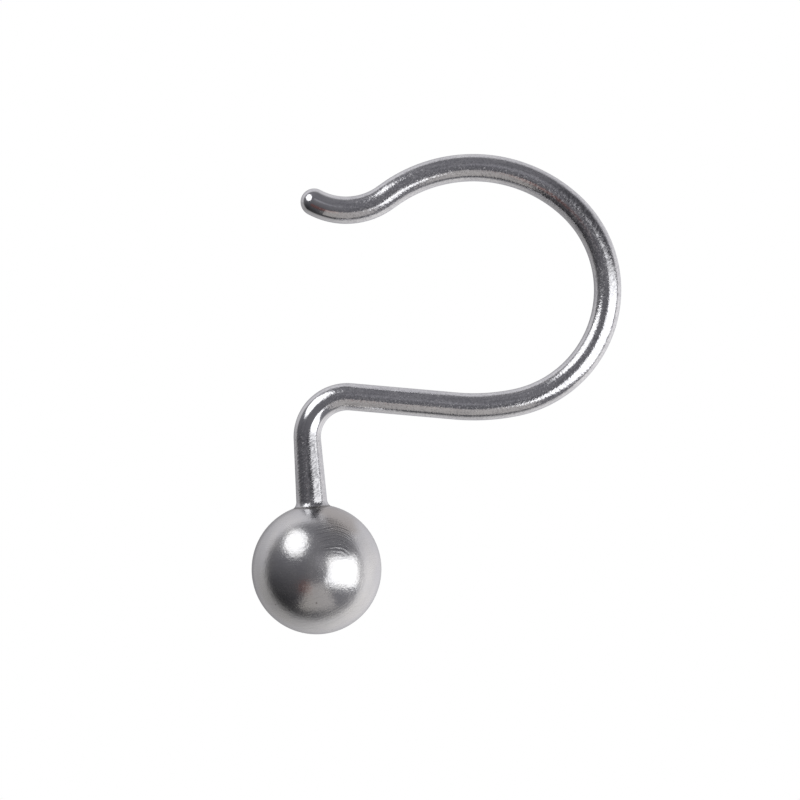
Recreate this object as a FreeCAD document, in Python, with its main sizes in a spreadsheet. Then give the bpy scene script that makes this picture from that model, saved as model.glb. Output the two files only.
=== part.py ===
import FreeCAD, Part
import math
import os
import Sketcher

# A curtain hook: one length of bent steel wire that hangs over a rod, and a steel ball on its leg.
# Millimetres. X runs from the hook's mouth to its back, Y along the rod and Z up.
# The origin is the rod seat, the highest point of the inside of the crown.
# Bend radii are to the wire's centreline, and angles are in degrees.

DRIVING = {
    # Drawn wire, one size all the way to the leg
    "wire_diameter": 4.2,
    # Tip, turned up so that the rod finds the mouth and cloth doesn't catch
    "tip_radius": 10.3,
    "tip_turn": 63.8,
    "neck_length": 1.0,
    "neck_rise": 35.3,
    # Loop: crown over the rod, back, and sole where the eyelet hangs
    "crown_radius": 22.2,
    "crown_turn": 42.3,
    "back_radius": 17.7,
    "sole_radius": 32.0,
    "sole_turn": 16.7,
    "run_length": 16.25,
    "run_slope": 5.0,
    # Crook and leg, down to the ball
    "crook_radius": 6.2,
    "leg_lean": 4.1,
    "leg_length": 10.0,
    "leg_swell": 0.55,
    # Foot, upset into a flare that seats on the ball
    "flare_radius": 1.3,
    "flare_width": 0.5,
    # Spigot and the bore that it is pressed into
    "spigot_diameter": 3.2,
    "spigot_length": 6.0,
    "spigot_chamfer": 0.4,
    "bore_clearance": 0.03,
    "bore_room": 0.5,
    "drill_point": 118.0,
    # Ball
    "ball_diameter": 20.0,
}

# Numbers of an edge's points and of a sketch's own axes
START, END, CENTRE = range(1, 4)
X_AXIS, Y_AXIS = range(-1, -3, -1)
ORIGIN = (X_AXIS, START)
FULL_TURN = 360.0

doc = FreeCAD.newDocument("curtain_hook")


def vector(x, y):
    return FreeCAD.Vector(x, y, 0)


def polar(distance, degrees):
    turn = math.radians(degrees)
    return vector(distance * math.cos(turn), distance * math.sin(turn))


def line(start, end):
    return Part.LineSegment(start, end)


def arc(centre, radius, first, last):
    circle = Part.Circle(centre, FreeCAD.Vector(0, 0, 1), radius)
    return Part.ArcOfCircle(circle, math.radians(first), math.radians(last))


def make_sheet():
    """Spreadsheet with one named cell for each driving dimension."""
    sheet = doc.addObject("Spreadsheet::Sheet", "dimensions")
    for row, (name, value) in enumerate(DRIVING.items(), start=1):
        sheet.set(f"A{row}", name)
        sheet.set(f"B{row}", str(value))
        sheet.setAlias(f"B{row}", name)
    doc.recompute()
    return sheet


def size(expression):
    """A length in terms of the sheet's names, each written as {name}."""
    return expression.format(**{name: f"dimensions.{name}" for name in DRIVING})


def angle(expression):
    return f"({size(expression)}) * 1 deg"


def drive(sketch, name, constraint, expression):
    """Adds a named dimension to a sketch and ties it to the sheet."""
    index = sketch.addConstraint(constraint)
    sketch.renameConstraint(index, name)
    sketch.setExpression(f"Constraints.{name}", expression)


def join(sketch, kind, *pairs):
    for first, second in pairs:
        sketch.addConstraint(Sketcher.Constraint(kind, *first, *second))


def front_plane_sketch(body, name):
    plane = next(o for o in body.Origin.OriginFeatures if o.Role == "XZ_Plane")
    sketch = body.newObject("Sketcher::SketchObject", name)
    sketch.AttachmentSupport = [(plane, "")]
    sketch.MapMode = "FlatFace"
    return sketch


def sketch_on_path(body, name, path, edge, mode, parameter):
    """Sketch at the start (0) or end (1) of an edge of the bend path."""
    sketch = body.newObject("Sketcher::SketchObject", name)
    sketch.AttachmentSupport = [(path, edge)]
    sketch.MapMode = mode
    sketch.MapPathParameter = parameter
    return sketch


def revolve(body, name, profile):
    """Full turn about the profile's own X axis."""
    turned = body.newObject("PartDesign::Revolution", name)
    turned.Profile = profile
    turned.ReferenceAxis = (profile, ["H_Axis"])
    turned.Angle = FULL_TURN
    return turned


def draw_bend_path(body):
    """Centreline from the tip to the end of the crook: tangent arcs and two straights."""
    d = DRIVING
    crown_drop = d["crown_radius"] - d["wire_diameter"] / 2
    sole_end = -90 - d["run_slope"]
    back_start = 90 - d["crown_turn"]
    back_end = sole_end + d["sole_turn"]
    crook_turn = 90 + d["run_slope"] + d["leg_lean"]
    crown_centre = vector(0, -crown_drop)
    neck_end = crown_centre + polar(d["crown_radius"], 90 + d["neck_rise"])
    neck_start = neck_end - polar(d["neck_length"], d["neck_rise"])
    tip_end = d["neck_rise"] - 90
    tip_centre = neck_start - polar(d["tip_radius"], tip_end)
    back_centre = crown_centre + polar(d["crown_radius"] - d["back_radius"], back_start)
    sole_centre = back_centre + polar(d["back_radius"] - d["sole_radius"], back_end)
    run_start = sole_centre + polar(d["sole_radius"], sole_end)
    run_end = run_start + polar(d["run_length"], 180 - d["run_slope"])
    crook_start = 90 - d["run_slope"]
    crook_centre = run_end - polar(d["crook_radius"], crook_start)

    sketch = front_plane_sketch(body, "bend_path")
    tip = sketch.addGeometry(arc(tip_centre, d["tip_radius"], tip_end - d["tip_turn"], tip_end))
    neck = sketch.addGeometry(line(neck_start, neck_end))
    crown = sketch.addGeometry(arc(crown_centre, d["crown_radius"], back_start, 90 + d["neck_rise"]))
    back = sketch.addGeometry(arc(back_centre, d["back_radius"], back_end, back_start))
    sole = sketch.addGeometry(arc(sole_centre, d["sole_radius"], sole_end, back_end))
    run = sketch.addGeometry(line(run_start, run_end))
    crook = sketch.addGeometry(arc(crook_centre, d["crook_radius"], crook_start, crook_start + crook_turn))
    join(
        sketch,
        "Tangent",
        ((tip, END), (neck, START)),
        ((neck, END), (crown, END)),
        ((crown, START), (back, END)),
        ((back, START), (sole, END)),
        ((sole, START), (run, START)),
        ((run, END), (crook, START)),
    )
    sketch.addConstraint(Sketcher.Constraint("PointOnObject", crown, CENTRE, Y_AXIS))
    drop = Sketcher.Constraint("DistanceY", crown, CENTRE, *ORIGIN, crown_drop)
    drive(sketch, "crown_drop", drop, size("{crown_radius} - {wire_diameter} / 2"))
    for name, edge in (("tip", tip), ("crown", crown), ("back", back), ("sole", sole), ("crook", crook)):
        key = f"{name}_radius"
        drive(sketch, key, Sketcher.Constraint("Radius", edge, d[key]), size(f"{{{key}}}"))
    for name, edge in (("neck_length", neck), ("run_length", run)):
        drive(sketch, name, Sketcher.Constraint("Distance", edge, d[name]), size(f"{{{name}}}"))
    for name, edge, expression, degrees in (
        ("neck_rise", neck, "{neck_rise}", d["neck_rise"]),
        ("run_heading", run, "180 - {run_slope}", 180 - d["run_slope"]),
        ("tip_turn", tip, "{tip_turn}", d["tip_turn"]),
        ("crown_span", crown, "{neck_rise} + {crown_turn}", d["neck_rise"] + d["crown_turn"]),
        ("sole_turn", sole, "{sole_turn}", d["sole_turn"]),
        ("crook_turn", crook, "90 + {run_slope} + {leg_lean}", crook_turn),
    ):
        turn = Sketcher.Constraint("Angle", edge, math.radians(degrees))
        drive(sketch, name, turn, angle(expression))
    doc.recompute()
    return sketch


def draw_tip_dome(body, path):
    """Quarter disc that turns into the rounded end of the wire."""
    radius = DRIVING["wire_diameter"] / 2
    sketch = sketch_on_path(body, "tip_profile", path, "Edge1", "FrenetTN", 0.0)
    face = sketch.addGeometry(line(vector(0, 0), vector(0, radius)))
    dome = sketch.addGeometry(arc(vector(0, 0), radius, 90, 180))
    axis = sketch.addGeometry(line(vector(-radius, 0), vector(0, 0)))
    join(
        sketch,
        "Coincident",
        ((face, START), ORIGIN),
        ((face, END), (dome, START)),
        ((dome, END), (axis, START)),
        ((axis, END), ORIGIN),
        ((dome, CENTRE), ORIGIN),
    )
    sketch.addConstraint(Sketcher.Constraint("PointOnObject", dome, START, Y_AXIS))
    sketch.addConstraint(Sketcher.Constraint("PointOnObject", dome, END, X_AXIS))
    drive(sketch, "tip_dome", Sketcher.Constraint("Radius", dome, radius), size("{wire_diameter} / 2"))
    return sketch


def draw_leg(body, path):
    """Half section of the leg: taper, flare, seat on the ball, spigot. X runs down the leg."""
    d = DRIVING
    wire = d["wire_diameter"] / 2
    leg_end = wire + d["leg_swell"] / 2
    foot = leg_end + d["flare_width"]
    ball = d["ball_diameter"] / 2
    spigot = d["spigot_diameter"] / 2
    centre = d["leg_length"] + ball
    spigot_end = d["leg_length"] + d["spigot_length"]
    seat_outer = vector(centre - math.sqrt(ball**2 - foot**2), foot)
    seat_inner = vector(centre - math.sqrt(ball**2 - spigot**2), spigot)
    flare_drop = d["flare_radius"] - d["flare_width"]
    flare_reach = math.sqrt(d["flare_radius"] ** 2 - flare_drop**2)
    flare_centre = vector(seat_outer.x - flare_reach, leg_end + d["flare_radius"])
    taper_end = vector(flare_centre.x, leg_end)
    flare_last = 360 - math.degrees(math.acos(flare_reach / d["flare_radius"]))
    seat_first = 180 - math.degrees(math.asin(foot / ball))
    seat_last = 180 - math.degrees(math.asin(spigot / ball))
    chamfer = d["spigot_chamfer"]
    side_end = vector(spigot_end - chamfer, spigot)
    nose = vector(spigot_end, spigot - chamfer)

    sketch = sketch_on_path(body, "leg_profile", path, "Edge7", "FrenetTN", 1.0)
    face = sketch.addGeometry(line(vector(0, 0), vector(0, wire)))
    taper = sketch.addGeometry(line(vector(0, wire), taper_end))
    flare = sketch.addGeometry(arc(flare_centre, d["flare_radius"], 270, flare_last))
    seat = sketch.addGeometry(arc(vector(centre, 0), ball, seat_first, seat_last))
    side = sketch.addGeometry(line(seat_inner, side_end))
    bevel = sketch.addGeometry(line(side_end, nose))
    end = sketch.addGeometry(line(nose, vector(spigot_end, 0)))
    axis = sketch.addGeometry(line(vector(spigot_end, 0), vector(0, 0)))
    join(
        sketch,
        "Coincident",
        ((face, START), ORIGIN),
        ((face, END), (taper, START)),
        ((flare, END), (seat, START)),
        ((seat, END), (side, START)),
        ((side, END), (bevel, START)),
        ((bevel, END), (end, START)),
        ((end, END), (axis, START)),
        ((axis, END), ORIGIN),
    )
    join(sketch, "Tangent", ((taper, END), (flare, START)))
    sketch.addConstraint(Sketcher.Constraint("PointOnObject", face, END, Y_AXIS))
    sketch.addConstraint(Sketcher.Constraint("PointOnObject", axis, START, X_AXIS))
    sketch.addConstraint(Sketcher.Constraint("PointOnObject", seat, CENTRE, X_AXIS))
    sketch.addConstraint(Sketcher.Constraint("Horizontal", side))
    sketch.addConstraint(Sketcher.Constraint("Vertical", end))
    drive(sketch, "ball_radius", Sketcher.Constraint("Radius", seat, ball), size("{ball_diameter} / 2"))
    flare_bend = Sketcher.Constraint("Radius", flare, d["flare_radius"])
    drive(sketch, "flare_radius", flare_bend, size("{flare_radius}"))
    leg_radius = "{wire_diameter} / 2 + {leg_swell} / 2"
    for name, point, expression, distance in (
        ("wire_radius", (face, END), "{wire_diameter} / 2", wire),
        ("leg_radius", (taper, END), leg_radius, leg_end),
        ("foot_radius", (flare, END), leg_radius + " + {flare_width}", foot),
        ("spigot_radius", (side, END), "{spigot_diameter} / 2", spigot),
        ("spigot_nose", (end, START), "{spigot_diameter} / 2 - {spigot_chamfer}", spigot - chamfer),
    ):
        height = Sketcher.Constraint("DistanceY", *ORIGIN, *point, distance)
        drive(sketch, name, height, size(expression))
    spigot_reach = "{leg_length} + {spigot_length}"
    for name, point, expression, distance in (
        ("ball_reach", (seat, CENTRE), "{leg_length} + {ball_diameter} / 2", centre),
        ("side_reach", (side, END), spigot_reach + " - {spigot_chamfer}", side_end.x),
        ("spigot_reach", (axis, START), spigot_reach, spigot_end),
    ):
        reach = Sketcher.Constraint("DistanceX", *ORIGIN, *point, distance)
        drive(sketch, name, reach, size(expression))
    doc.recompute()
    return sketch


def make_hook_wire():
    """The wire: a round section along the bend path, a domed tip and the turned leg."""
    body = doc.addObject("PartDesign::Body", "hook_wire")
    path = draw_bend_path(body)
    section = sketch_on_path(body, "wire_section", path, "Edge1", "NormalToEdge", 0.0)
    radius = DRIVING["wire_diameter"] / 2
    circle = section.addGeometry(Part.Circle(vector(0, 0), FreeCAD.Vector(0, 0, 1), radius))
    join(section, "Coincident", ((circle, CENTRE), ORIGIN))
    width = Sketcher.Constraint("Diameter", circle, 2 * radius)
    drive(section, "wire_width", width, size("{wire_diameter}"))
    doc.recompute()
    bends = body.newObject("PartDesign::AdditivePipe", "bends")
    bends.Profile = section
    bends.Spine = (path, [f"Edge{n}" for n in range(1, len(path.Shape.Edges) + 1)])
    doc.recompute()
    swept = math.pi * radius**2 * path.Shape.Length
    print(f"bent length {path.Shape.Length:.2f} mm, swept {bends.Shape.Volume:.2f} of {swept:.2f} mm3")
    revolve(body, "tip_dome", draw_tip_dome(body, path))
    doc.recompute()
    revolve(body, "leg", draw_leg(body, path))
    doc.recompute()
    return body


def make_ball():
    """The ball, drilled for the spigot, on the leg's axis. X runs down the leg."""
    d = DRIVING
    ball = d["ball_diameter"] / 2
    bore = d["spigot_diameter"] / 2 + d["bore_clearance"]
    floor = d["spigot_length"] + d["bore_room"] - ball
    point = floor + bore / math.tan(math.radians(d["drill_point"] / 2))
    rim = 180 - math.degrees(math.asin(bore / ball))

    body = doc.addObject("PartDesign::Body", "ball")
    sketch = front_plane_sketch(body, "ball_profile")
    skin = sketch.addGeometry(arc(vector(0, 0), ball, 0, rim))
    wall = sketch.addGeometry(line(polar(ball, rim), vector(floor, bore)))
    cone = sketch.addGeometry(line(vector(floor, bore), vector(point, 0)))
    axis = sketch.addGeometry(line(vector(point, 0), vector(ball, 0)))
    join(
        sketch,
        "Coincident",
        ((skin, END), (wall, START)),
        ((wall, END), (cone, START)),
        ((cone, END), (axis, START)),
        ((axis, END), (skin, START)),
        ((skin, CENTRE), ORIGIN),
    )
    sketch.addConstraint(Sketcher.Constraint("PointOnObject", axis, START, X_AXIS))
    sketch.addConstraint(Sketcher.Constraint("PointOnObject", axis, END, X_AXIS))
    sketch.addConstraint(Sketcher.Constraint("Horizontal", wall))
    drive(sketch, "ball_radius", Sketcher.Constraint("Radius", skin, ball), size("{ball_diameter} / 2"))
    bore_radius = Sketcher.Constraint("DistanceY", *ORIGIN, wall, END, bore)
    drive(sketch, "bore_radius", bore_radius, size("{spigot_diameter} / 2 + {bore_clearance}"))
    under_bore = Sketcher.Constraint("DistanceX", wall, END, skin, START, ball - floor)
    drive(sketch, "under_bore", under_bore, size("{ball_diameter} - {spigot_length} - {bore_room}"))
    slant = Sketcher.Constraint("Angle", cone, math.radians(-d["drill_point"] / 2))
    drive(sketch, "drill_slant", slant, angle("-{drill_point} / 2"))
    doc.recompute()
    revolve(body, "ball_solid", sketch)
    reach = size("{leg_length} + {ball_diameter} / 2")
    offset = f"placement(vector({reach}; 0; 0); rotation(vector(0; 0; 1); 0))"
    body.setExpression("Placement", f"leg_profile.Placement * {offset}")
    doc.recompute()
    return body


def check_and_write(bodies):
    """Writes each piece once every object is sound."""
    for item in doc.Objects:
        if "Invalid" in item.State or "Error" in item.State:
            raise RuntimeError(f"{item.Label} failed: {item.State}")
    for sketch in doc.findObjects("Sketcher::SketchObject"):
        if sketch.solve() != 0 or not sketch.FullyConstrained:
            raise RuntimeError(f"{sketch.Label} is not fully constrained")
    for body in bodies:
        if body.Shape.isNull() or not body.Shape.isValid() or len(body.Shape.Solids) != 1:
            raise RuntimeError(f"{body.Label} is not one sound solid")
    os.makedirs("parts", exist_ok=True)
    for body in bodies:
        box = body.Shape.optimalBoundingBox(True, False)
        spans = f"{box.XLength:.2f} x {box.YLength:.2f} x {box.ZLength:.2f} mm"
        print(f"{body.Label}: {body.Shape.Volume:.1f} mm3, {spans}")
        body.Shape.exportStep(f"parts/{body.Label}.step")


make_sheet()
check_and_write([make_hook_wire(), make_ball()])
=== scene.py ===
# %% [markdown]
# # A curtain hook of bent steel wire
# The hook hangs over a curtain rod, and an eyelet of the curtain hangs in the bottom of its loop. It is one
# length of steel wire, bent in one plane, with a steel ball pressed on its lower end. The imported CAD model
# holds both pieces at their real size. It is loaded first and never changed: everything below is built in
# the same frame, in metres, with the origin at the rod seat, the highest point inside the loop.

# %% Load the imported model
import math

import bpy
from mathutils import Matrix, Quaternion, Vector


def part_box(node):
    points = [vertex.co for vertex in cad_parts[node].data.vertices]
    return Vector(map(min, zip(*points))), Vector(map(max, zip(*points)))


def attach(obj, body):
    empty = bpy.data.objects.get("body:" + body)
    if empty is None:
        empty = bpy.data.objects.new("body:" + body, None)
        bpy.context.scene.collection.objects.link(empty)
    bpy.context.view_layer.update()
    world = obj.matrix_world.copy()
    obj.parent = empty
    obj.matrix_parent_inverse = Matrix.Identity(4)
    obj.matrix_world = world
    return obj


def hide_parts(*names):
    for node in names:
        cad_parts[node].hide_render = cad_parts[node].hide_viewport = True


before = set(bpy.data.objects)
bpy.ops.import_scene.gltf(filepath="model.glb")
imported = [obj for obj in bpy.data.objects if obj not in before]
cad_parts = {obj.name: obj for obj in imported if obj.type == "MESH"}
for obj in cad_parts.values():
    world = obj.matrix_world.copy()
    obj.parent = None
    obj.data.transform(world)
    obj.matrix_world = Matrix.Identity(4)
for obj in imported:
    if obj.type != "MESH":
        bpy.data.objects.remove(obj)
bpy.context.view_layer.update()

MM = 0.001


def in_mm(values):
    return [round(value / MM, 2) for value in values]


print("nodes in the frame:", ", ".join(sorted(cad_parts)))

# %% [markdown]
# ## The bending card
# A wire bender works from a card: feed so much wire, turn it by so much, feed again. The hook is drawn here
# from the same kind of card. A curve with handles could be pulled into shape by eye instead, but its bends
# would not be true arcs, and every change would spoil the bends beside it. Seven rows say the whole shape,
# and each can be changed alone. Turns are anticlockwise as seen from the front, and radii are to the middle
# of the wire.

# %% Sizes of the wire and its bends
WIRE_RADIUS = 2.1 * MM
CROWN_RADIUS = 22.2 * MM


def bend(radius, degrees):
    """A row of the card: the wire that a bend takes, and its turn."""
    turn = math.radians(degrees)
    return radius * abs(turn), turn


def straight(length):
    """A row of the card with no turn."""
    return length, 0.0


BENDS = {
    "tip": bend(10.3 * MM, 63.8),
    "neck": straight(1.0 * MM),
    "crown": bend(CROWN_RADIUS, -77.6),
    "back": bend(17.7 * MM, -126.0),
    "sole": bend(32.0 * MM, -16.7),
    "run": straight(16.25 * MM),
    "crook": bend(6.2 * MM, 99.1),
}
BENT_LENGTH = sum(length for length, turn in BENDS.values())
print(f"wire {2 * WIRE_RADIUS / MM:.1f} mm thick, {BENT_LENGTH / MM:.2f} mm from the tip to the leg")

# %% [markdown]
# ## The leg, its foot and the ball
# Below the last bend the wire goes straight down to the ball. It isn't plain there: the leg swells a little,
# its end is upset into a flared foot that seats on the ball, and a thinner spigot goes on into a hole in the
# ball. The edge of the foot lies on the ball, so its place along the wire follows from the two radii and
# isn't typed in. The shapes and the finishes both need these sizes, so they come before either.

# %% Sizes of the leg, the foot and the ball
LEG_LENGTH = 10.0 * MM
LEG_SWELL = 0.275 * MM
LEG_RADIUS = WIRE_RADIUS + LEG_SWELL
FLARE_RADIUS = 1.3 * MM
FLARE_WIDTH = 0.5 * MM
FOOT_RADIUS = LEG_RADIUS + FLARE_WIDTH
SPIGOT_RADIUS = 1.6 * MM
SPIGOT_LENGTH = 6.0 * MM
SPIGOT_CHAMFER = 0.4 * MM
BALL_RADIUS = 10.0 * MM

LEG_END = BENT_LENGTH + LEG_LENGTH
SPIGOT_END = LEG_END + SPIGOT_LENGTH
BALL_MIDDLE = LEG_END + BALL_RADIUS
FOOT_END = BALL_MIDDLE - math.sqrt(BALL_RADIUS**2 - FOOT_RADIUS**2)
print(f"foot ends {FOOT_END / MM:.2f} mm along the wire, the ball's middle is at {BALL_MIDDLE / MM:.2f} mm")

# %% [markdown]
# ## Where the wire starts
# The card says how the wire runs, but not where it lies. The rod seat fixes that: the middle of the wire
# passes straight over the origin, level, half a wire up. Walking back from there over the part of the crown
# that rises to it, the neck and the tip gives the place where the tip begins. The end could also be moved
# about until the loop fits, but walking back is exact. Each step is one chord, the straight line from the
# start of a bend to its end.

# %% Walk back from the rod seat to the tip
NECK_RISE = math.radians(35.3)


def chord(heading, length, turn):
    half = turn / 2
    across = length * math.sin(half) / half if half else length
    return Vector((across * math.cos(heading + half), 0, across * math.sin(heading + half)))


tip_heading = NECK_RISE - BENDS["tip"][1]
tip_start = Vector((0, 0, WIRE_RADIUS))
tip_start -= chord(NECK_RISE, CROWN_RADIUS * NECK_RISE, -NECK_RISE)
tip_start -= chord(NECK_RISE, *BENDS["neck"])
tip_start -= chord(tip_heading, *BENDS["tip"])
print("the tip starts at, mm:", in_mm(tip_start))

# %% [markdown]
# ## Sums that draw their own nodes
# Both the shape and the finishes below are formulas made of nodes. Wiring each Math node by hand hides the
# formula, so one small class stands for a node's output and takes part in ordinary Python sums, and each sum
# adds its node. A second class holds the tree, with one method that adds any other node.


# %% A socket that can be used in sums
class Socket:
    """An output of a node."""

    def __init__(self, graph, socket):
        self.graph = graph
        self.socket = socket

    def other(self, name):
        """Another output of the same node."""
        return Socket(self.graph, self.socket.node.outputs[name])

    def maths(self, operation, *others):
        return self.graph.maths(operation, self, *others)

    def __add__(self, other):
        return self.maths("ADD", other)

    __radd__ = __add__

    def __sub__(self, other):
        return self.maths("SUBTRACT", other)

    def __rsub__(self, other):
        return self.graph.maths("SUBTRACT", other, self)

    def __mul__(self, other):
        return self.maths("MULTIPLY", other)

    __rmul__ = __mul__

    def __truediv__(self, other):
        return self.maths("DIVIDE", other)

    def __rtruediv__(self, other):
        return self.graph.maths("DIVIDE", other, self)


# %% A tree of nodes
class Graph:
    """A node tree, emptied and ready to be filled."""

    def __init__(self, tree):
        self.tree = tree
        tree.nodes.clear()

    def node(self, kind, settings=None, inputs=(), output=0):
        """Adds a node, sets it up, feeds its sockets by name or number, and gives one of its outputs."""
        made = self.tree.nodes.new(kind)
        for name, value in (settings or {}).items():
            setattr(made, name, value)
        fed = inputs.items() if isinstance(inputs, dict) else enumerate(inputs)
        for key, value in fed:
            if isinstance(value, Socket):
                self.tree.links.new(value.socket, made.inputs[key])
            else:
                made.inputs[key].default_value = value
        return Socket(self, made.outputs[output]) if made.outputs else None

    def maths(self, operation, *values):
        return self.node("ShaderNodeMath", {"operation": operation}, values)

    def vectors(self, operation, *values, output=0):
        return self.node("ShaderNodeVectorMath", {"operation": operation}, values, output)

    def combine(self, x, y, z):
        return self.node("ShaderNodeCombineXYZ", {}, (x, y, z))

    def separate(self, vector):
        x = self.node("ShaderNodeSeparateXYZ", {}, (vector,))
        return x, x.other("Y"), x.other("Z")

    def ease(self, value, low, high, first=0.0, last=1.0):
        """Goes smoothly from first to last as the value goes from low to high."""
        settings = {"interpolation_type": "SMOOTHSTEP"}
        return self.node("ShaderNodeMapRange", settings, (value, low, high, first, last))

    def blend(self, share, first, second):
        """Mixes two colours."""
        settings = {"data_type": "RGBA"}
        return self.node("ShaderNodeMix", settings, {0: share, 6: first, 7: second}, 2)


# %% [markdown]
# ## Turn it on a lathe
# The wire with its domed tip and flared foot, and the ball, are all round about the wire's own axis. So each
# is drawn as half a section and turned, as on a lathe, in one tree of Geometry Nodes. A Curve to Mesh sweep
# would be shorter, but it can't draw the foot, where the outline runs back along the axis to seat on the
# ball. Each point of the outline becomes one row of a grid, and the grid's other direction goes round.


# %% Nodes that turn the outline
def turn_outline(graph, outline, around):
    """A grid, and how far along the wire, to its side and in front of it each of its points goes."""
    stations = graph.node("GeometryNodeAttributeDomainSize", {}, (outline,), "Point Count")
    sizes = {"Vertices X": stations, "Vertices Y": around + 1}
    grid = graph.node("GeometryNodeMeshGrid", {}, sizes)
    index = graph.node("GeometryNodeInputIndex")
    station = ((index + 0.5) / (around + 1)).maths("FLOOR")
    swing = (index - station * (around + 1)) * math.tau / around
    place = graph.node("GeometryNodeInputPosition")
    settings = {"data_type": "FLOAT_VECTOR", "domain": "POINT"}
    inputs = {"Geometry": outline, "Value": place, "Index": station}
    along, radius, _ = graph.separate(graph.node("GeometryNodeSampleIndex", settings, inputs))
    return grid, along, radius * swing.maths("COSINE"), radius * swing.maths("SINE")


# %% [markdown]
# ## Bend it along the card
# The turned shape is still straight. Each point is now carried along the card's path: over each row it moves
# along the chord of the wire fed so far, so nothing is added up in small steps and the bends are exactly
# smooth. Before the first row and after the last one the wire goes straight on. A hair is added to each half
# turn, so that a straight row doesn't divide nought by nought.

# %% Nodes that follow the card
HAIR = 1e-6


def follow_card(along, x, z, heading, rows):
    """Where the middle of the wire lies so far along it, and its heading there."""
    before = along.maths("MINIMUM", 0)
    x = x + before * heading.maths("COSINE")
    z = z + before * heading.maths("SINE")
    fed = along
    for length, turn in rows:
        walked = fed.maths("MAXIMUM", 0).maths("MINIMUM", length)
        turned = turn * walked / length
        half = turned / 2 + HAIR
        across = walked * half.maths("SINE") / half
        x = x + across * (heading + half).maths("COSINE")
        z = z + across * (heading + half).maths("SINE")
        heading = heading + turned
        fed = fed - length
    past = fed.maths("MAXIMUM", 0)
    x = x + past * heading.maths("COSINE")
    z = z + past * heading.maths("SINE")
    return x, z, heading


# %% [markdown]
# ## Close it and keep its edges
# The grid's two long sides meet behind the wire, and the points of its ends all lie on the axis. Merging
# them by distance makes one closed skin. Bright metal shows each facet, so the skin is shaded smooth, apart
# from true edges such as the rim of the foot, which are found by the angle between their faces.

# %% Nodes that close and smooth
MERGE_DISTANCE = 1e-7
SHARP_EDGE = math.radians(30)


def close_and_smooth(graph, shape):
    inputs = {"Geometry": shape, "Distance": MERGE_DISTANCE}
    closed = graph.node("GeometryNodeMergeByDistance", {}, inputs)
    inputs = {"Geometry": closed, "Shade Smooth": True}
    smooth = graph.node("GeometryNodeSetShadeSmooth", {"domain": "FACE"}, inputs)
    sharp = graph.node("GeometryNodeInputMeshEdgeAngle").maths("GREATER_THAN", SHARP_EDGE)
    inputs = {"Geometry": smooth, "Selection": sharp, "Shade Smooth": False}
    return graph.node("GeometryNodeSetShadeSmooth", {"domain": "EDGE"}, inputs)


# %% [markdown]
# ## The whole tree
# The steps above now go into one tree. Its inputs have the names of the card's rows, so it can be reused for
# a hook of another shape from Blender's modifier panel. It also stores where each point was before the wire
# was bent. The finishes read that, so their grain follows the bends as grain on a real wire does.

# %% The tree that turns and bends
ALONG_WIRE = "along_wire"
INPUTS = {
    "Outline": "Geometry",
    "Around": "Int",
    "Steel": "Material",
    "Start X": "Float",
    "Start Z": "Float",
    "Heading": "Float",
}
for row in BENDS:
    INPUTS[f"{row} length"] = "Float"
    INPUTS[f"{row} turn"] = "Float"


def make_bending_tree():
    tree = bpy.data.node_groups.new("turn_and_bend", "GeometryNodeTree")
    for name, kind in INPUTS.items():
        tree.interface.new_socket(name, in_out="INPUT", socket_type=f"NodeSocket{kind}")
    tree.interface.new_socket("Piece", in_out="OUTPUT", socket_type="NodeSocketGeometry")
    graph = Graph(tree)
    given = graph.node("NodeGroupInput")
    rows = [(given.other(f"{row} length"), given.other(f"{row} turn")) for row in BENDS]

    grid, along, side, depth = turn_outline(graph, given.other("Outline"), given.other("Around"))
    x, z, heading = follow_card(
        along, given.other("Start X"), given.other("Start Z"), given.other("Heading"), rows
    )
    bent = graph.combine(x - side * heading.maths("SINE"), depth, z + side * heading.maths("COSINE"))
    settings = {"data_type": "FLOAT_VECTOR", "domain": "POINT"}
    inputs = {"Geometry": grid, "Name": ALONG_WIRE, "Value": graph.combine(side, depth, along)}
    marked = graph.node("GeometryNodeStoreNamedAttribute", settings, inputs)
    shape = graph.node("GeometryNodeSetPosition", {}, {"Geometry": marked, "Position": bent})
    real = graph.node("GeometryNodeRealizeInstances", {}, (close_and_smooth(graph, shape),))
    inputs = {"Geometry": real, "Material": given.other("Steel")}
    graph.node("NodeGroupOutput", {}, (graph.node("GeometryNodeSetMaterial", {}, inputs),))
    return tree


bending_tree = make_bending_tree()
print(f"bending tree: {len(INPUTS)} inputs, {len(bending_tree.nodes)} nodes")

# %% [markdown]
# ## From an outline to a piece
# An outline is only a row of loose points. A blank with those points gets the tree as its modifier, and its
# result is copied into a plain mesh. Applying the modifier would do the same, but it needs the blank to be
# selected, which a script is better off without. The blank is then thrown away, and the piece stands at the
# origin with its place in its mesh, as the CAD nodes do.


# %% A piece from its outline
def turned_piece(name, outline, around, steel):
    """A plain mesh, in place, from half a section given as (along the wire, radius) points."""
    points = bpy.data.meshes.new(f"{name}_outline")
    points.from_pydata([(along, radius, 0) for along, radius in outline], [], [])
    blank = bpy.data.objects.new(f"{name}_outline", points)
    bpy.context.scene.collection.objects.link(blank)
    modifier = blank.modifiers.new("turn_and_bend", "NODES")
    modifier.node_group = bending_tree
    values = {"Around": around, "Steel": steel, "Heading": tip_heading}
    values.update({"Start X": tip_start.x, "Start Z": tip_start.z})
    for row, (length, turn) in BENDS.items():
        values.update({f"{row} length": length, f"{row} turn": turn})
    for item in bending_tree.interface.items_tree:
        if item.name in values:
            modifier[item.identifier] = values[item.name]
    ready = blank.evaluated_get(bpy.context.evaluated_depsgraph_get())
    mesh = bpy.data.meshes.new_from_object(ready)
    mesh.name = name
    bpy.data.objects.remove(blank)
    piece = bpy.data.objects.new(name, mesh)
    bpy.context.scene.collection.objects.link(piece)
    return piece


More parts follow.
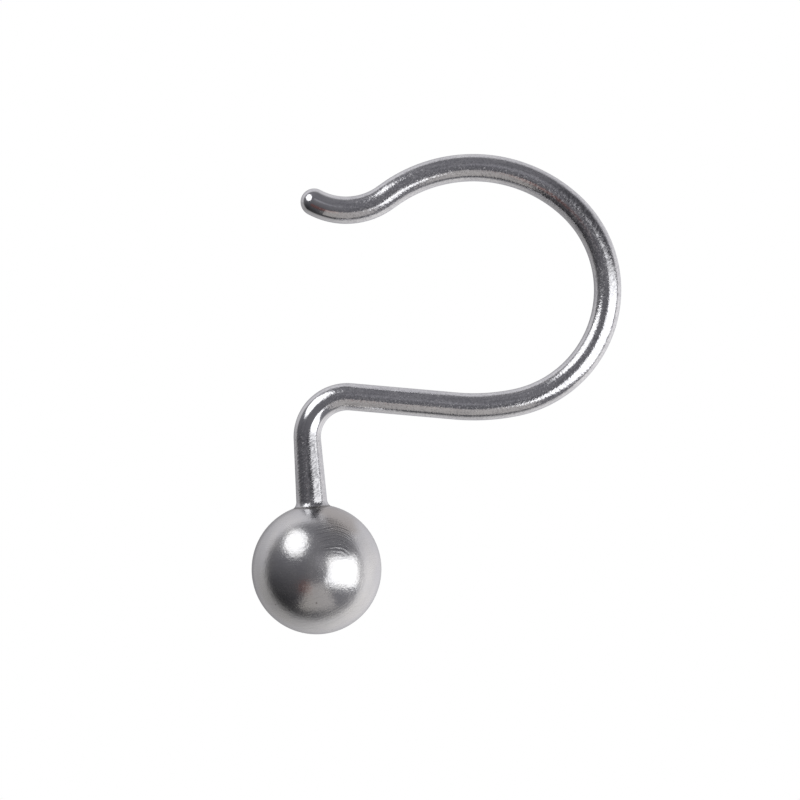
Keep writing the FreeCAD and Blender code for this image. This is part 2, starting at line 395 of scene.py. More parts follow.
# %% [markdown]
# ## Grain for both finishes
# Steel that has been drawn, bent, tumbled and polished isn't plain: its surface waves, pits and scratches
# by a few hundredths of a millimetre at most, and that is what breaks up a reflection. An image of a
# scratched metal could be used, but it has one scale and one seam. Noise has neither, so the finishes are
# sums of noises, each with a size of grain in millimetres. Heights are in metres, so that one Bump node
# turns them into true slopes.

# %% Helpers for the finishes
MICRON = 0.001 * MM


def grain(graph, place, across, along=None, detail=1.0):
    """Noise about 0, from -0.5 to 0.5, with grains so many millimetres across and along the wire."""
    size = (across * MM, across * MM, (along or across) * MM)
    inputs = {"Vector": graph.vectors("DIVIDE", place, size), "Scale": 1.0, "Detail": detail}
    return graph.node("ShaderNodeTexNoise", {}, inputs) - 0.5


def specks(graph, place, spacing, radius, share):
    """Spots of 1 on 0, one to a cell in a share of the cells of a loose grid, sizes in millimetres."""
    inputs = {"Vector": graph.vectors("DIVIDE", place, (spacing * MM,) * 3), "Scale": 1.0}
    distance = graph.node("ShaderNodeTexVoronoi", {}, inputs)
    lot, _, _ = graph.separate(distance.other("Color"))
    spot = graph.ease(distance, 0.5 * radius / spacing, radius / spacing, 1.0, 0.0)
    return spot * lot.maths("LESS_THAN", share)


def towards(graph, facing, axis):
    """1 where a direction lies along an axis, and 0 where it lies across it."""
    return graph.vectors("DOT_PRODUCT", facing, axis, output="Value")


def new_finish(name):
    material = bpy.data.materials.new(name)
    material.use_nodes = True
    return material, Graph(material.node_tree)


def steel(graph, colour, roughness, height):
    bumped = graph.node("ShaderNodeBump", {}, {"Strength": 1.0, "Distance": 1.0, "Height": height})
    inputs = {"Base Color": colour, "Metallic": 1.0, "Roughness": roughness, "Normal": bumped}
    shader = graph.node("ShaderNodeBsdfPrincipled", {}, inputs)
    graph.node("ShaderNodeOutputMaterial", {}, (shader,))


# %% [markdown]
# ## Stretches of the wire
# The wire doesn't shine alike all along. Its tip is smooth, the loop has a fine grain, a stretch past the
# crown is satin, the crook is bright where the bending tool pressed it, and the leg is scuffed in short
# strokes. Each could have a material of its own, with a hard line between them. One finish that fades from
# stretch to stretch is closer to the real wire, so these masks come first. They are given by the distance
# along the wire.

# %% Masks along the wire
CROOK_END = BENT_LENGTH
CROOK_START = BENT_LENGTH - BENDS["crook"][0]
TIP_FADES = (1.5 * MM, 7 * MM)
CROOK_FADES = (CROOK_START + 3 * MM, CROOK_START + 6 * MM)
SATIN_STARTS = (36 * MM, 42 * MM)
SATIN_ENDS = (53 * MM, 60 * MM)
LEG_STARTS = (CROOK_END - 2.6 * MM, CROOK_END + 0.4 * MM)
TIP_GRAIN = 0.2
CROOK_GRAIN = 0.15
LEG_GRAIN = 0.8


def wire_stretches(graph, along):
    """How grainy the wire is, and which parts of it are the satin stretch and the leg."""
    past_tip = graph.ease(along, *TIP_FADES, TIP_GRAIN, 1.0)
    to_crook = graph.ease(along, *CROOK_FADES, 1.0, CROOK_GRAIN)
    satin = graph.ease(along, *SATIN_STARTS) * graph.ease(along, *SATIN_ENDS, 1.0, 0.0)
    leg = graph.ease(along, *LEG_STARTS)
    return past_tip * to_crook + LEG_GRAIN * leg, satin, leg


print(f"crook from {CROOK_START / MM:.2f} to {CROOK_END / MM:.2f} mm along the wire")

# %% [markdown]
# ## The wire's relief
# Tumbling leaves fine waves on the wire that cross each other at a slant, with pebbles between them. Below
# them are a slow swell from the bending and long lines from the drawing die, and here and there a pit. The
# grain could be cut into the mesh, but at a tenth of a millimetre that takes millions of faces. A bump
# bends the reflections as well at no cost. The leg's strokes are the deepest, because the foot was formed
# there.

# %% Heights on the wire
RIPPLE = 15 * MICRON
CROSS_RIPPLE = 13 * MICRON
PEBBLE = 9 * MICRON
SWELL = 16 * MICRON
DRAWN_LINES = 7 * MICRON
WIRE_PITS = 10 * MICRON
LEG_STROKES = 46 * MICRON


def slanted(graph, place, lean, across, along):
    """Grain in strokes that lean along the wire as they cross it."""
    side, _, _ = graph.separate(place)
    leaning = graph.vectors("ADD", place, graph.combine(0, 0, side * lean))
    return grain(graph, leaning, across, along)


def wire_height(graph, place, grainy, leg, pits):
    fine = RIPPLE * slanted(graph, place, lean=0.5, across=0.6, along=0.3)
    fine = fine + CROSS_RIPPLE * slanted(graph, place, lean=-0.9, across=0.5, along=0.27)
    fine = fine + PEBBLE * grain(graph, place, across=0.3)
    broad = SWELL * grain(graph, place, across=1.6, along=1.1)
    broad = broad + DRAWN_LINES * grain(graph, place, across=0.3, along=7) - WIRE_PITS * pits
    strokes = LEG_STROKES * slanted(graph, place, lean=0.5, across=0.7, along=0.24)
    return fine * grainy + strokes * leg + broad


# %% [markdown]
# ## Painted shade on the highlight
# On the satin stretch and on the leg, one side of the wire's front is painted a darker grey, in short
# strokes like scuffs, just where the right softbox shows in it: this is painted shade that dims that
# highlight. The strip could be painted on an image, but the wire's own coordinates make it simpler: the
# direction from the wire's axis gives its side, the distance along the wire gives its ends, and slanted
# noise gives the strokes.

# %% Painted shade on the wire's highlight
# The strip is painted shade, set where the right softbox's highlight falls on the wire.
HIGHLIGHT_SHADE_SIDE = Vector((0.3, -0.95, 0)).normalized()
HIGHLIGHT_SHADE_EDGE = (0.91, 0.97)
HIGHLIGHT_SHADE_ENDS = (FOOT_END - 2.4 * MM, FOOT_END - 1.2 * MM)
HIGHLIGHT_SHADE_AT_FOOT = 0.4
HIGHLIGHT_SHADE_EVEN = 0.45
HIGHLIGHT_SHADE_STROKES = 0.5


def highlight_shade(graph, place, along, satin, leg):
    """A strip of painted shade where the right softbox's highlight falls, on one side of the front, on the
    satin stretch and on the leg, where it fades at the foot.
    """
    out = graph.vectors("NORMALIZE", graph.vectors("MULTIPLY", place, (1, 1, 0)))
    strip = graph.ease(towards(graph, out, HIGHLIGHT_SHADE_SIDE), *HIGHLIGHT_SHADE_EDGE)
    above = graph.ease(along, *HIGHLIGHT_SHADE_ENDS, 1.0, HIGHLIGHT_SHADE_AT_FOOT)
    strokes = slanted(graph, place, lean=0.5, across=0.6, along=0.28)
    strokes = graph.ease(strokes, low=-0.1, high=0.1)
    return strip * (satin + leg * above) * (HIGHLIGHT_SHADE_EVEN + HIGHLIGHT_SHADE_STROKES * strokes)


# %% [markdown]
# ## The wire's colour
# Steel is a grey mirror, and its colour is how much it gives back. Between the bright grains lie duller
# ones, and dull lines run along the wire from the drawing. The leg is a little duller, and pits hold a
# little dirt. On the satin stretch and the leg a grey strip of painted shade, in short strokes, dims the
# right softbox's highlight, and a dark line of painted shade lies in the crease where the foot meets the
# ball. One grey for all would look like plastic foil, so each of these is blended over the one before.

# %% Colours on the wire
WIRE_GREY = (0.71, 0.71, 0.73, 1)
WIRE_BRIGHT = (0.78, 0.78, 0.79, 1)
WIRE_SPECKLE = (0.34, 0.34, 0.36, 1)
WIRE_LINE = (0.42, 0.42, 0.44, 1)
LEG_GREY = (0.4, 0.4, 0.41, 1)
# Grey of the painted shade strip that dims the right softbox's highlight.
HIGHLIGHT_SHADE_GREY = (0.25, 0.25, 0.26, 1)
WIRE_PIT = (0.2, 0.19, 0.18, 1)
# Dark line of painted shade in the crease where the foot meets the ball.
FOOT_CREASE_SHADE = (0.14, 0.13, 0.12, 1)
FOOT_CREASE_SHADE_STARTS = (FOOT_END - 0.3 * MM, FOOT_END - 0.1 * MM)
SPECKLE_SHARE = 0.42
LINE_SHARE = 0.35
LEG_SHARE = 0.25
WIRE_PIT_SHARE = 0.6
FOOT_CREASE_SHADE_SHARE = 0.75


def wire_colour(graph, place, along, grainy, satin, leg, pits, patches):
    colour = graph.blend(graph.ease(patches, low=-0.2, high=0.2), WIRE_GREY, WIRE_BRIGHT)
    speckle = graph.ease(grain(graph, place, across=0.24, along=0.28), low=-0.02, high=0.14)
    colour = graph.blend(SPECKLE_SHARE * speckle * grainy, colour, WIRE_SPECKLE)
    lines = graph.ease(grain(graph, place, across=0.4, along=9), low=-0.05, high=0.2)
    colour = graph.blend(LINE_SHARE * lines, colour, WIRE_LINE)
    colour = graph.blend(LEG_SHARE * leg, colour, LEG_GREY)
    # Painted shade: a grey strip in strokes that dims the right softbox's highlight.
    colour = graph.blend(highlight_shade(graph, place, along, satin, leg), colour, HIGHLIGHT_SHADE_GREY)
    colour = graph.blend(WIRE_PIT_SHARE * pits, colour, WIRE_PIT)
    # Painted shade: a dark line in the crease where the foot meets the ball.
    crease_shade = graph.ease(along, *FOOT_CREASE_SHADE_STARTS)
    return graph.blend(FOOT_CREASE_SHADE_SHARE * crease_shade, colour, FOOT_CREASE_SHADE)


# %% [markdown]
# ## The wire's finish
# Now the parts are put together. The roughness gets what is left: a bright wire, rougher in small flecks, on
# the satin stretch, on the leg and in the pits. The flecks matter most, because they break the edges of the
# highlights into the speckle that tumbled steel shows.

# %% Tumbled bright wire
WIRE_ROUGHNESS = 0.12
ROUGHER_PATCHES = 0.06
ROUGHER_FLECKS = 0.18
ROUGHER_SATIN = 0.06
ROUGHER_LEG = 0.05
ROUGHER_PITS = 0.2


def wire_finish():
    material, graph = new_finish("wire_steel")
    place = graph.node("ShaderNodeAttribute", {"attribute_name": ALONG_WIRE}, (), "Vector")
    _, _, along = graph.separate(place)
    grainy, satin, leg = wire_stretches(graph, along)
    pits = specks(graph, place, spacing=1.5, radius=0.16, share=0.25)
    patches = grain(graph, place, across=1.2, along=2.5, detail=2.0)
    flecks = graph.ease(grain(graph, place, across=0.3, along=0.34), low=-0.02, high=0.16)
    roughness = WIRE_ROUGHNESS + ROUGHER_PATCHES * patches + ROUGHER_FLECKS * flecks * grainy
    roughness = roughness + ROUGHER_SATIN * satin + ROUGHER_LEG * leg + ROUGHER_PITS * pits
    colour = wire_colour(graph, place, along, grainy, satin, leg, pits, patches)
    steel(graph, colour, roughness, wire_height(graph, place, grainy, leg, pits))
    return material


wire_steel = wire_finish()
print(f"wire finish: {len(wire_steel.node_tree.nodes)} nodes")

# %% [markdown]
# ## Rings on the ball
# Polishing has left its marks on the ball. A buff went round the leg's axis and left faint streaks, a wheel
# that came at it from the front left a group of fine arcs high on one side, and low on the ball are a few
# brush lines. Stretched noise can't follow a sphere, so the noise is laid over one number instead: the angle
# between a place on the ball and an axis, which is the same all along a ring about that axis. The rings
# wobble a little, as a ball held by hand does.

# %% Directions on the ball
ball_low, ball_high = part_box("ball")
ball_centre = (ball_low + ball_high) / 2
WHEEL_AXIS = Vector((0.28, -0.96, 0.0)).normalized()
WHEEL_MARK = Vector((0.31, -0.74, 0.57)).normalized()
BROWN_MARK = Vector((0.37, -0.41, 0.83)).normalized()
BRUSH_AXIS = Vector((-0.38, -0.65, 0.65)).normalized()
BRUSH_MARK = Vector((0.1, -0.6, -0.8)).normalized()
LEG_AXIS = Vector((0.07, 0.0, -1.0)).normalized()


def rings(graph, place, facing, axis, step, wobble):
    """Noise in rings about an axis, so many radians apart."""
    wander = grain(graph, place, across=4) * wobble
    turns = towards(graph, facing, axis).maths("ARCCOSINE") / step + wander
    inputs = {"W": turns, "Scale": 1.0, "Detail": 1.0}
    return graph.node("ShaderNodeTexNoise", {"noise_dimensions": "1D"}, inputs) - 0.5


print("the ball's middle, mm:", in_mm(ball_centre))

# %% [markdown]
# ## The ball's colour
# The ball is the same steel, with a softer shine. Polish has dried in the wheel's arcs and darkened them,
# and the streaks and brush lines are a shade duller; these are the ball's own. A dark brownish ring close
# round the foot is painted shade, where the foot shades the ball and shows in it. High on the right beside
# the foot the ball is painted a darker brown. All of these are painted in the ball's colour.

# %% Colours on the ball
BALL_GREY = (0.63, 0.63, 0.64, 1)
BALL_BRIGHT = (0.69, 0.685, 0.68, 1)
POLISH_GREY = (0.34, 0.34, 0.35, 1)
# Brown painted high on the right of the ball, beside the foot.
UPPER_RIGHT_BROWN = (0.46, 0.43, 0.405, 1)
# Painted shade in a ring on the ball round the foot.
BALL_FOOT_SHADE = (0.27, 0.24, 0.22, 1)
STREAK_GREY = (0.45, 0.44, 0.43, 1)
BALL_PIT = (0.28, 0.26, 0.25, 1)
BROWN_EDGE = (0.9, 0.99)
FOOT_SHADE_EDGE = (math.radians(161), math.radians(164))
EDGE_WAVER = 0.1
POLISH_SHARE = 0.8
BROWN_SHARE = 0.8
FOOT_SHADE_SHARE = 0.6
BUFF_SHARE = 0.18
BRUSH_SHARE = 0.25
BALL_PIT_SHARE = 0.7


def ball_colour(graph, facing, wheel, buffed, brushed, pits, patches):
    waver = EDGE_WAVER * patches
    colour = graph.blend(graph.ease(patches, low=-0.2, high=0.2), BALL_GREY, BALL_BRIGHT)
    colour = graph.blend(POLISH_SHARE * graph.ease(wheel, low=0.03, high=0.16), colour, POLISH_GREY)
    # A brown tint painted high on the right of the ball, beside the foot.
    browned = graph.ease(towards(graph, facing, BROWN_MARK) + waver, *BROWN_EDGE)
    colour = graph.blend(BROWN_SHARE * browned, colour, UPPER_RIGHT_BROWN)
    # Painted shade: a dark brownish ring on the ball round the foot, where the foot shades it.
    from_leg = towards(graph, facing, LEG_AXIS).maths("ARCCOSINE")
    crease_shade = graph.ease(from_leg + waver, *FOOT_SHADE_EDGE)
    colour = graph.blend(FOOT_SHADE_SHARE * crease_shade, colour, BALL_FOOT_SHADE)
    colour = graph.blend(BUFF_SHARE * graph.ease(buffed, low=0.05, high=0.25), colour, STREAK_GREY)
    colour = graph.blend(BRUSH_SHARE * graph.ease(brushed, low=0.03, high=0.2), colour, STREAK_GREY)
    return graph.blend(BALL_PIT_SHARE * pits, colour, BALL_PIT)


# %% [markdown]
# ## The ball's finish
# The finish reads Object coordinates, with a Mapping node that puts their zero in the middle of the ball. It
# could read the wire's own coordinates as the wire does, but rings about three axes are simplest from the
# middle. The roughness is about twice the wire's, so the lamps show as soft patches and not as bands.

# %% Polishing marks on the ball
WHEEL_EDGE = (0.925, 0.985)
WHEEL_STEP = math.radians(1.6)
BUFF_STEP = math.radians(0.7)
BRUSH_EDGE = (0.5, 0.95)
BRUSH_STEP = math.radians(0.7)


def ball_marks(graph, place, facing):
    """The arcs of the wheel, the streaks of the buff and the brush lines."""
    marked = graph.ease(towards(graph, facing, WHEEL_MARK), *WHEEL_EDGE)
    wheel = rings(graph, place, facing, WHEEL_AXIS, WHEEL_STEP, wobble=5.0) * marked
    buffed = rings(graph, place, facing, LEG_AXIS, BUFF_STEP, wobble=6.0)
    low = graph.ease(towards(graph, facing, BRUSH_MARK), *BRUSH_EDGE)
    brushed = rings(graph, place, facing, BRUSH_AXIS, BRUSH_STEP, wobble=3.0) * low
    return wheel, buffed, brushed


# %% Satin polished ball
BALL_ROUGHNESS = 0.225
ROUGHER_BALL_PATCHES = 0.14
ROUGHER_BALL_FLECKS = 0.04
ROUGHER_WHEEL = 0.2
BALL_GRAIN = 14 * MICRON
BALL_SWELL = 20 * MICRON
BUFF_STREAKS = 5 * MICRON
WHEEL_ARCS = 40 * MICRON
BRUSH_LINES = 10 * MICRON
BALL_PITS = 8 * MICRON


def ball_finish():
    material, graph = new_finish("ball_steel")
    objects = graph.node("ShaderNodeTexCoord", {}, (), "Object")
    place = graph.node("ShaderNodeMapping", {}, {"Vector": objects, "Location": -ball_centre})
    facing = graph.vectors("NORMALIZE", place)
    wheel, buffed, brushed = ball_marks(graph, place, facing)
    pits = specks(graph, place, spacing=2.0, radius=0.2, share=0.3)
    patches = grain(graph, place, across=3, detail=3.0)
    flecks = graph.ease(grain(graph, place, across=0.35), low=0.0, high=0.16)
    roughness = BALL_ROUGHNESS + ROUGHER_BALL_PATCHES * patches + ROUGHER_BALL_FLECKS * flecks
    roughness = roughness + ROUGHER_WHEEL * wheel
    uneven = BALL_GRAIN * grain(graph, place, across=0.4)
    uneven = uneven + BALL_SWELL * grain(graph, place, across=1.2, detail=2.0)
    marks = BUFF_STREAKS * buffed + WHEEL_ARCS * wheel + BRUSH_LINES * brushed
    height = uneven + marks - BALL_PITS * pits
    steel(graph, ball_colour(graph, facing, wheel, buffed, brushed, pits, patches), roughness, height)
    return material


ball_steel = ball_finish()
print(f"ball finish: {len(ball_steel.node_tree.nodes)} nodes")

# %% [markdown]
# ## Outlines
# Both pieces start as half a section: points with a place along the wire and a distance from its axis. Most
# of them lie on arcs, the dome of the tip, the flare of the foot, its seat on the ball and the ball itself,
# so one helper lays points on an arc. The arcs could be left to a bevel, but a bevel doesn't know that the
# flare ends just where it meets the ball.


# %% Points on an arc and on a line
def arc(centre, radius, first, last, steps):
    """Points of an arc in an outline, from one angle to another, in degrees."""
    turns = [math.radians(first + (last - first) * step / steps) for step in range(steps + 1)]
    return [(centre[0] + radius * math.cos(turn), centre[1] + radius * math.sin(turn)) for turn in turns]


def line(first, last, steps):
    """Points of a straight line in an outline, without its first one."""
    shares = [step / steps for step in range(1, steps + 1)]
    return [tuple(a + (b - a) * share for a, b in zip(first, last)) for share in shares]


# %% [markdown]
# ## The bent wire
# The wire's outline starts at the top of the dome and runs along the wire, with a point for each degree or
# so of every bend and only a few in the straights. It swells down the leg, flares out to the ball, comes
# back along the ball to the spigot and closes at the spigot's end, inside the ball. The flare is an arc that
# is tangent to the leg and stops on the ball, so its angle follows from the two sizes.

# %% Outline of the foot
SEAT_STEPS = 6
FLARE_STEPS = 20


def foot_outline():
    """From the end of the leg over the flare, the seat and the spigot."""
    foot = math.degrees(math.asin(FOOT_RADIUS / BALL_RADIUS))
    spigot = math.degrees(math.asin(SPIGOT_RADIUS / BALL_RADIUS))
    seat = arc((BALL_MIDDLE, 0), BALL_RADIUS, 180 - foot, 180 - spigot, SEAT_STEPS)
    drop = FLARE_RADIUS - FLARE_WIDTH
    reach = math.sqrt(FLARE_RADIUS**2 - drop**2)
    centre = (FOOT_END - reach, LEG_RADIUS + FLARE_RADIUS)
    last = 360 - math.degrees(math.asin(drop / FLARE_RADIUS))
    points = arc(centre, FLARE_RADIUS, 270, last, FLARE_STEPS) + seat[1:]
    chamfer_start = (SPIGOT_END - SPIGOT_CHAMFER, SPIGOT_RADIUS)
    return points + [chamfer_start, (SPIGOT_END, SPIGOT_RADIUS - SPIGOT_CHAMFER), (SPIGOT_END, 0)]


print(f"foot: {len(foot_outline())} points in its outline")

# %% Wire
DOME_STEPS = 24
DEGREES_PER_STEP = 0.8
STRAIGHT_STEPS = 4
LEG_STEPS = 24
WIRE_AROUND = 96


def wire_outline():
    points = arc((0, 0), WIRE_RADIUS, 180, 90, DOME_STEPS)
    fed = 0
    for length, turn in BENDS.values():
        steps = max(STRAIGHT_STEPS, round(math.degrees(abs(turn)) / DEGREES_PER_STEP))
        points += line((fed, WIRE_RADIUS), (fed + length, WIRE_RADIUS), steps)
        fed += length
    foot = foot_outline()
    return points + line((fed, WIRE_RADIUS), foot[0], LEG_STEPS) + foot[1:]


bent_wire = turned_piece("bent_wire", wire_outline(), WIRE_AROUND, wire_steel)
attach(bent_wire, "root")
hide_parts("hook_wire")
print(f"bent wire: {len(bent_wire.data.polygons)} faces")

# %% [markdown]
# ## The ball
# The ball on the end of the leg is the hook's ornament. Blender's own UV sphere has no hole for the spigot,
# and cutting one with a Boolean leaves long thin faces that show in a polished surface. The same tree can
# turn the ball instead, because its hole is on the wire's axis: the outline starts at the point that the
# drill left, comes up the bore and goes round the ball.

# %% Ball
BORE_PLAY = 0.03 * MM
BORE_RADIUS = SPIGOT_RADIUS + BORE_PLAY
BORE_SPARE = 0.5 * MM
BORE_END = SPIGOT_END + BORE_SPARE
DRILL_POINT = math.radians(118)
BALL_STEPS = 150
BALL_AROUND = 256


def ball_outline():
    rim = math.degrees(math.asin(BORE_RADIUS / BALL_RADIUS))
    drill_tip = (BORE_END + BORE_RADIUS / math.tan(DRILL_POINT / 2), 0)
    bore = [drill_tip, (BORE_END, BORE_RADIUS)]
    return bore + arc((BALL_MIDDLE, 0), BALL_RADIUS, 180 - rim, 0, BALL_STEPS)


polished_ball = turned_piece("polished_ball", ball_outline(), BALL_AROUND, ball_steel)
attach(polished_ball, "root")
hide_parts("ball")
print(f"ball: {len(polished_ball.data.polygons)} faces")

# %% [markdown]
# ## The room around the hook
# Bright metal has hardly a colour of its own: what it shows is the room. The hook hangs before a white sheet
# that also shows in its rims, and the room in front of the sheet is dim, which gives the dark middle of the
# wire and the ball. An image of a studio could light it, but it would have to be stored and read. The room
# is drawn by direction instead: X to the right, Y away from the front and Z up, each from -1 to 1. A level
# can slope with each of these and with their products, and soft patches are added to it.

# %% Directions, slopes and soft patches
scene = bpy.context.scene
scene.view_settings.view_transform = "Standard"


def direction(azimuth, elevation):
    """From the hook: azimuth 0 is to the front and 90 to the right, in degrees."""
    a, e = math.radians(azimuth), math.radians(elevation)
    return Vector((math.sin(a) * math.cos(e), -math.cos(a) * math.cos(e), math.sin(e)))


def sloped(graph, looking, level, slopes):
    """A level that changes with x, y and z, or with a product of them such as xz."""
    axes = dict(zip("xyz", graph.separate(looking)))
    for product, slope in slopes.items():
        part = slope
        for axis in product:
            part = part * axes[axis]
        level = level + part
    return level


def patch(graph, looking, azimuth, elevation, inner, outer):
    """1 within the inner angle of a direction, and 0 beyond the outer one."""
    nearness = towards(graph, looking, direction(azimuth, elevation))
    return graph.ease(nearness, math.cos(math.radians(outer)), math.cos(math.radians(inner)))


print("to the front:", tuple(direction(0, 0)))

# %% [markdown]
# ## Levels and tints of the room
# The sheet is a little brighter on the right, and darker straight behind the hook, where it is farthest
# away. The dim room has one paler patch just above the front. The tints are slight: cool in the dim room,
# warm low on the sheet, cool high on it and behind the hook, and a small red patch low in front that gives
# the hook its one red glint.

# %% Levels by direction
SHEET_LEVEL = 0.7
SHEET_SLOPES = {"x": 0.06, "z": 0.09, "xz": -0.35, "xy": 0.31, "yz": -0.1, "y": -0.04}
SHEET_PATCH = {"azimuth": 82, "elevation": -5, "inner": 8, "outer": 45}
SHEET_PATCH_LEVEL = 0.17
FAR_EDGE = (0.75, 1.0)
FAR_LEVEL = 0.2
FAR_SLOPES = {"x": -0.3}
ROOM_LEVEL = 0.165
ROOM_SLOPES = {"x": 0.05, "xz": -0.125, "z": 0.05}
ROOM_PATCH = {"azimuth": 9, "elevation": 19, "inner": 2, "outer": 13}
ROOM_PATCH_LEVEL = 0.12


def sheet_level(graph, looking):
    _, y, _ = graph.separate(looking)
    level = sloped(graph, looking, SHEET_LEVEL, SHEET_SLOPES)
    far = sloped(graph, looking, FAR_LEVEL, FAR_SLOPES) * graph.ease(y, *FAR_EDGE)
    return level + SHEET_PATCH_LEVEL * patch(graph, looking, **SHEET_PATCH) - far


def room_level(graph, looking):
    level = sloped(graph, looking, ROOM_LEVEL, ROOM_SLOPES)
    return level + ROOM_PATCH_LEVEL * patch(graph, looking, **ROOM_PATCH)


# %% Tints by direction
ROOM_TINT = (0.98, 0.965, 1.05, 1)
LOW_TINT = (1.01, 0.988, 0.985, 1)
HIGH_TINT = (1.005, 0.99, 1.025, 1)
FAR_TINT = (0.995, 0.978, 1.02, 1)
RED_TINT = (1.27, 0.66, 0.63, 1)
RED_PATCH = {"azimuth": -20, "elevation": -28, "inner": 6, "outer": 15}


def room_tint(graph, looking):
    _, y, z = graph.separate(looking)
    sheet = graph.blend(graph.ease(z, low=-0.8, high=0.8), LOW_TINT, HIGH_TINT)
    tint = graph.blend(graph.ease(y, low=-0.3, high=0.2), ROOM_TINT, sheet)
    tint = graph.blend(graph.ease(y, low=0.5, high=1.0), tint, FAR_TINT)
    return graph.blend(patch(graph, looking, **RED_PATCH), tint, RED_TINT)


# %% [markdown]
# ## The world
# A camera ray that misses the hook has to come out plain white. Is Camera Ray from the Light Path node tells
# it apart, so the sheet is white to the camera and keeps its levels in the steel. Is Glossy Ray and Is
# Transmission Ray pick out the rays that a mirror or a glass sends on, and only those see the sheet: all
# other light comes from the dim room and the lamps, which keeps the hook at a plain level.

# %% World
WHITE = (1, 1, 1, 1)
SHEET_EDGE = (-0.06, 0.27)
SHEET_TURN = 0.08


def make_world():
    world = bpy.data.worlds.new("white_room")
    world.use_nodes = True
    graph = Graph(world.node_tree)
    looking = graph.node("ShaderNodeTexCoord", {}, (), "Generated")
    x, y, _ = graph.separate(looking)
    tint = room_tint(graph, looking)
    room = graph.node("ShaderNodeBackground", {}, {"Color": tint, "Strength": room_level(graph, looking)})
    seen = graph.node("ShaderNodeLightPath", {}, (), "Is Camera Ray")
    mirrored = seen.other("Is Glossy Ray").maths("MAXIMUM", seen.other("Is Transmission Ray"))
    level = 1 - mirrored * (1 - sheet_level(graph, looking))
    colour = graph.blend(mirrored, WHITE, tint)
    sheet = graph.node("ShaderNodeBackground", {}, {"Color": colour, "Strength": level})
    behind = graph.ease(y + SHEET_TURN * x, *SHEET_EDGE)
    share = seen.maths("MAXIMUM", mirrored * behind)
    mixed = graph.node("ShaderNodeMixShader", {}, (share, room, sheet))
    graph.node("ShaderNodeOutputWorld", {}, (mixed,))
    return world


scene.world = make_world()
print(f"world: {len(scene.world.node_tree.nodes)} nodes")

# %% [markdown]
# ## Two softboxes and a card
# The two white bands along the wire and the two bright patches on the ball are the same two lamps: an oval
# softbox above on the left, and an oblong one on the right, a little lower than the hook. They stand close,
# so each bend shows them at another place, and distant lamps could not do that. A long pale card lies low in
# front and shows as the warm patch low on the ball. A lamp's power is worked out from how bright its face
# should look, so its size can change without changing that.

# %% Lamps
HOOK_MIDDLE = Vector((-5 * MM, 0, -30 * MM))
UP = Vector((0, 0, 1))
LEFT_DISTANCE = 0.161
LEFT_BOX = {"shape": "ELLIPSE", "roll": -36.6, "size": (0.152, 0.116), "radiance": 1.5}
RIGHT_DISTANCE = 0.182
RIGHT_BOX = {"shape": "RECTANGLE", "roll": -4, "size": (0.222, 0.176), "radiance": 1.55}
CARD_OFFSET = Vector((0.02, -0.445, -0.3))
CARD_COLOUR = (1.0, 0.945, 0.885)
WARM_CARD = {"shape": "RECTANGLE", "roll": 0, "size": (0.32, 0.71), "radiance": 0.33, "colour": CARD_COLOUR}
left = direction(azimuth=-54.5, elevation=36.0)
right = direction(azimuth=48.0, elevation=-9.0)


def lamp(name, place, facing, shape, roll, size, radiance, colour=(1, 1, 1)):
    light = bpy.data.lights.new(name, "AREA")
    light.shape = shape
    light.size, light.size_y = size
    area = size[0] * size[1] * (math.pi / 4 if shape == "ELLIPSE" else 1)
    light.energy = math.pi * area * radiance
    light.color = colour
    holder = bpy.data.objects.new(name, light)
    holder.location = place
    holder.visible_camera = False
    turned = facing.to_track_quat("-Z", "Y") @ Quaternion(UP, math.radians(roll))
    holder.rotation_euler = turned.to_euler()
    scene.collection.objects.link(holder)
    print(f"{name}: {light.energy:.4f} W")


lamp("softbox_left", HOOK_MIDDLE + LEFT_DISTANCE * left, -left, **LEFT_BOX)
lamp("softbox_right", HOOK_MIDDLE + RIGHT_DISTANCE * right, -right, **RIGHT_BOX)
lamp("warm_card", ball_centre + CARD_OFFSET, UP, **WARM_CARD)

# %% [markdown]
# ## The floor
# A pale floor lies well below the hook and takes its soft shadow in the raised views. A plane to the horizon
# would need a backdrop to end it, so this one fades into the white sheet around it. It glows a little, which
# keeps it pale under lamps that are set for the steel. The steel doesn't mirror it and it throws no shadow,
# because the card that lights the hook from below lies under it.

# %% Floor
FLOOR_HEIGHT = -0.175
FLOOR_RADIUS = 0.2
FLOOR_PLAIN = 0.3 * FLOOR_RADIUS
FLOOR_PAINT = (0.9, 0.9, 0.9, 1)
FLOOR_GLOW = 0.5


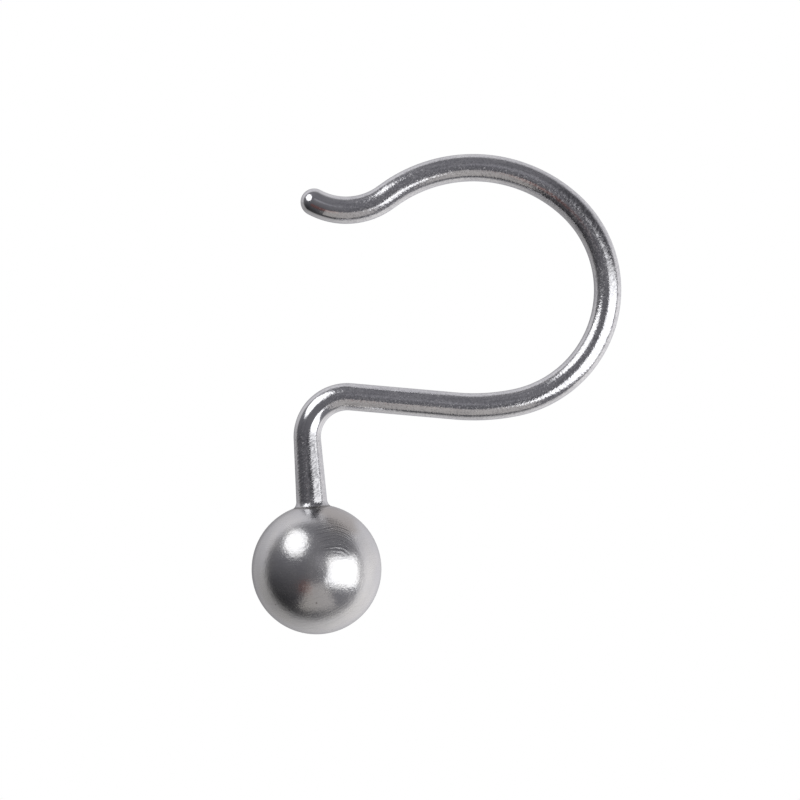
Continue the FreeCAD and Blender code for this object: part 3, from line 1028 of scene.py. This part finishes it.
def floor_paint():
    material, graph = new_finish("pale_floor")
    place = graph.node("ShaderNodeTexCoord", {}, (), "Object")
    out = graph.vectors("LENGTH", graph.vectors("MULTIPLY", place, (1, 1, 0)), output="Value")
    paint = graph.node("ShaderNodeBsdfDiffuse", {}, {"Color": FLOOR_PAINT})
    glow = graph.node("ShaderNodeEmission", {}, {"Color": WHITE, "Strength": FLOOR_GLOW})
    pale = graph.node("ShaderNodeAddShader", {}, (paint, glow))
    faded = graph.ease(out, FLOOR_PLAIN, FLOOR_RADIUS)
    clear = graph.node("ShaderNodeBsdfTransparent")
    shown = graph.node("ShaderNodeMixShader", {}, (faded, pale, clear))
    graph.node("ShaderNodeOutputMaterial", {}, (shown,))
    return material


mesh = bpy.data.meshes.new("floor")
corners = [(-FLOOR_RADIUS, -FLOOR_RADIUS), (FLOOR_RADIUS, -FLOOR_RADIUS)]
corners += [(FLOOR_RADIUS, FLOOR_RADIUS), (-FLOOR_RADIUS, FLOOR_RADIUS)]
mesh.from_pydata([(x, y, FLOOR_HEIGHT) for x, y in corners], [], [(0, 1, 2, 3)])
mesh.materials.append(floor_paint())
floor = bpy.data.objects.new("floor", mesh)
floor.visible_glossy = False
floor.visible_shadow = False
scene.collection.objects.link(floor)
print(f"floor: {FLOOR_RADIUS} m to each side, {FLOOR_HEIGHT} m up")

# %% [markdown]
# ## The camera
# The hook is seen square from the front. Near its edges a short lens would show the side of the wire and of
# the ball, and the real picture shows none, so the lens is long. The distance follows from the lens and from
# how wide a piece of the hook's own plane the picture takes in.

# %% Camera
CAMERA_LENS = 100
CAMERA_SENSOR = 36
CAMERA_CLIP = 10 * MM
VIEW_CENTRE = Vector((-11.28 * MM, 0, -33.72 * MM))
VIEW_WIDTH = 123.36 * MM

view_distance = VIEW_WIDTH * CAMERA_LENS / CAMERA_SENSOR
camera_data = bpy.data.cameras.new("camera")
camera_data.lens = CAMERA_LENS
camera_data.sensor_width = CAMERA_SENSOR
camera_data.clip_start = CAMERA_CLIP
camera = bpy.data.objects.new("camera", camera_data)
camera.location = VIEW_CENTRE - Vector((0, view_distance, 0))
camera.rotation_euler = (math.radians(90), 0, 0)
scene.collection.objects.link(camera)
scene.camera = camera
print(f"camera {view_distance:.4f} m in front of the hook")
